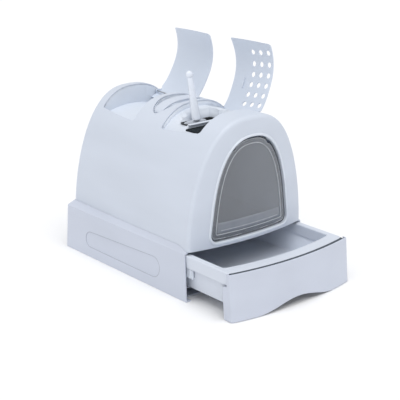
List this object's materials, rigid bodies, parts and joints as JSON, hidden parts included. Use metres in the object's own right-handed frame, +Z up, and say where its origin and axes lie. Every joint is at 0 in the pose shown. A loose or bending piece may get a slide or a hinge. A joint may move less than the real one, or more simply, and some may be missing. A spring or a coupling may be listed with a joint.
{
  "type": "cat litter box with hood",
  "caption": "Hooded cat litter box: plinth with pull-out litter drawer, arched hood with a swinging door, roof hatches over compartments, filter and scoop.",
  "frame": {"origin": "middle of the plinth's footprint, on the floor", "axes": "+X to the right seen from the front, +Y towards the back, +Z up; the doorway and drawer face -Y"},
  "size_m": [0.4, 0.6831, 0.5702],
  "materials": {
    "hood_shell": "pale bluish white, satin-gloss moulded plastic",
    "hatch_shell": "pale bluish white, satin-gloss moulded plastic",
    "base_shell": "pale bluish white, satin moulded plastic",
    "tray": "pale grey-blue, fine matt texture",
    "insert": "pale grey-white, fine matt texture",
    "trim": "bright white, glossy",
    "sheath": "dark grey, matt",
    "filter": "black carbon foam",
    "scoop_plastic": "frosty white, glossy",
    "smoky_door": "smoky translucent plastic, glossy",
    "steel_rod": "drawn wire"
  },
  "bodies": {
    "base": {"plinth_frame": "base_shell", "runner_left": "base_shell", "runner_right": "base_shell", "hood_shell": "hood_shell", "door_frame": "trim", "front_tray": "insert", "rear_tray": "insert", "carbon_filter": "filter", "filter_bar": "trim", "scoop_sheath": "sheath", "handle_cup": "insert", "carry_handle": "hood_shell", "front_hatch_rod": "steel_rod", "rear_hatch_rod": "steel_rod"},
    "front_hatch_body": {"front_hatch": "hatch_shell", "front_hatch_rib": "trim"},
    "rear_hatch_body": {"rear_hatch": "hatch_shell"},
    "door": {"door_flap": "smoky_door", "door_pin_left": "steel_rod", "door_pin_right": "steel_rod"},
    "drawer": {"litter_tray": "tray", "rim_frame": "tray", "drawer_front": "base_shell"},
    "clip_left_body": {"clip_left": "trim"},
    "clip_right_body": {"clip_right": "trim"},
    "scoop_body": {"scoop": "scoop_plastic"}
  },
  "joints": [
    {"name": "drawer_slide", "type": "slide", "parent": "base", "child": "drawer", "axis": [0, -1, 0], "range_m": [-0.13, 0.21]},
    {"name": "front_hatch_hinge", "type": "hinge", "parent": "base", "child": "front_hatch_body", "pos_m": [0.07, -0.1125, 0.39815], "axis": [-0.03, 0.9988, -0.04], "range_deg": [-60, 0]},
    {"name": "rear_hatch_hinge", "type": "hinge", "parent": "base", "child": "rear_hatch_body", "pos_m": [0.07, 0.137, 0.39633], "axis": [0.02, 0.9987, 0.0479], "range_deg": [-115.5, 0]},
    {"name": "door_swing", "type": "hinge", "parent": "base", "child": "door", "pos_m": [0, -0.243, 0.362], "axis": [1, 0, 0], "range_deg": [-70, 55]},
    {"name": "clip_left_hinge", "type": "hinge", "parent": "drawer", "child": "clip_left_body", "pos_m": [-0.1855, -0.2325, 0.087], "axis": [0, 1, 0], "range_deg": [0, 10]},
    {"name": "clip_right_hinge", "type": "hinge", "parent": "drawer", "child": "clip_right_body", "pos_m": [0.1855, -0.2325, 0.087], "axis": [0, -1, 0], "range_deg": [0, 10]},
    {"name": "scoop_lift", "type": "slide", "parent": "base", "child": "scoop_body", "axis": [0, 0.247, 0.969], "range_m": [0, 0.14]}
  ]
}
